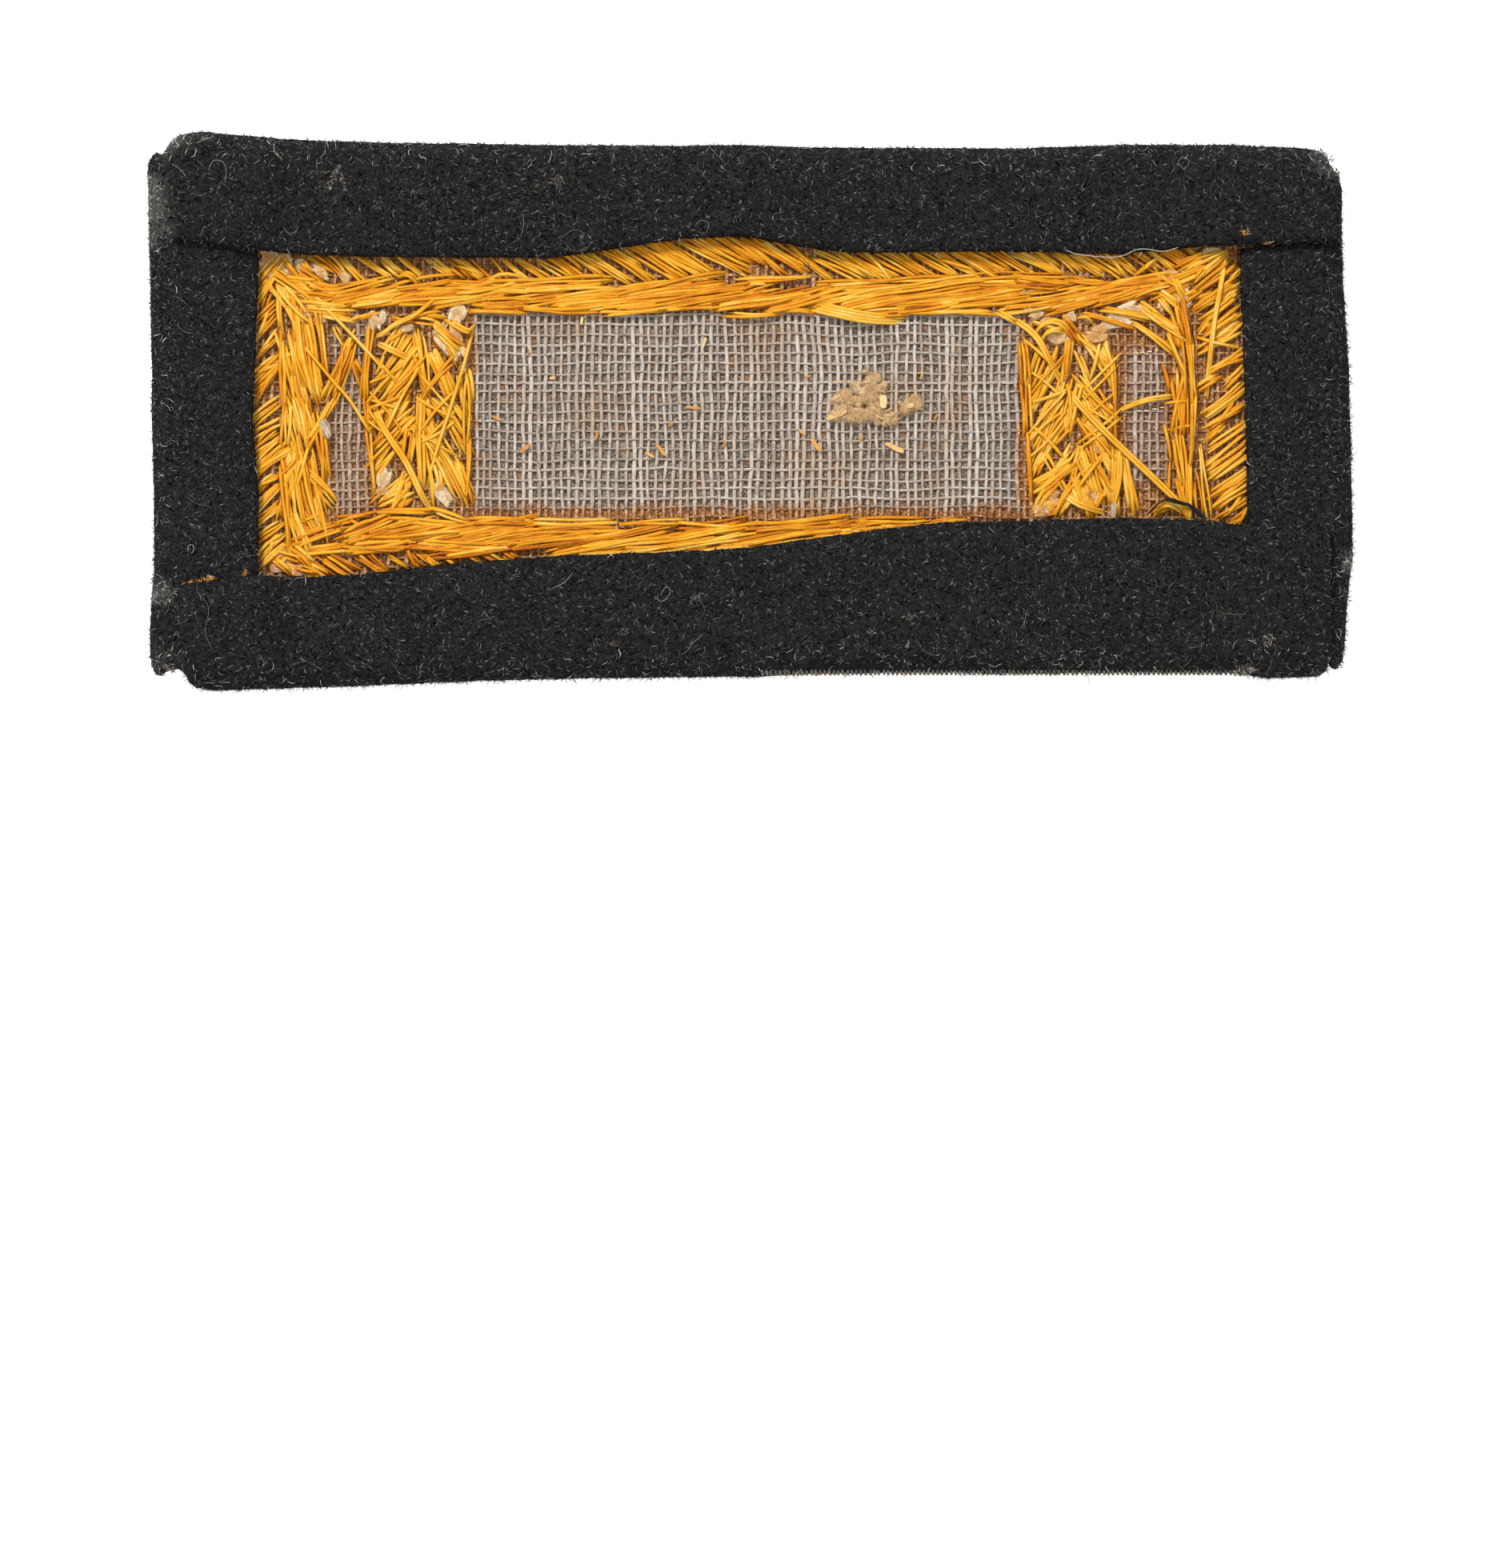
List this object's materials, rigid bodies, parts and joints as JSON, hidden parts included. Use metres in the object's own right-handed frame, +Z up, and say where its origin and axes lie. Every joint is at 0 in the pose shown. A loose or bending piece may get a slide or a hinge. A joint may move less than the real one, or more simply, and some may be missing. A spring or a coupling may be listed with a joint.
{
  "type": "shoulder strap",
  "caption": "Officer's shoulder strap lying reverse up: dark wool folded over a crinoline backing, with silk embroidery reverse in the window and a gilt border on the face.",
  "frame": {"origin": "under the middle of the strap, on the surface that its embroidered face rests on", "axes": "+X along the strap, +Y across it towards the upper long edge of the picture, +Z up out of the reverse"},
  "size_m": [0.1206, 0.056, 0.0073],
  "materials": {
    "dark_wool": "felted, worn at the folds",
    "crinoline": "stiff open weave",
    "yellow_silk": "satin sheen",
    "raw_cotton": "soft, matt",
    "dried_paste": "crumbly, matt",
    "gilt_wire": "aged gilt, coiled"
  },
  "bodies": {
    "root": {"wool_cover": "dark_wool", "crinoline": "crinoline", "border_stitching": "yellow_silk", "residue_flake": "dried_paste", "face_border": "gilt_wire", "bar_stitching_1": "yellow_silk", "padding_upper_1": "raw_cotton", "padding_lower_1": "raw_cotton", "face_bar_1": "gilt_wire", "bar_stitching_2": "yellow_silk", "padding_upper_2": "raw_cotton", "padding_lower_2": "raw_cotton", "face_bar_2": "gilt_wire", "bar_stitching_3": "yellow_silk", "padding_upper_3": "raw_cotton", "padding_lower_3": "raw_cotton", "face_bar_3": "gilt_wire", "bar_stitching_4": "yellow_silk", "padding_upper_4": "raw_cotton", "padding_lower_4": "raw_cotton", "face_bar_4": "gilt_wire"}
  },
  "joints": []
}
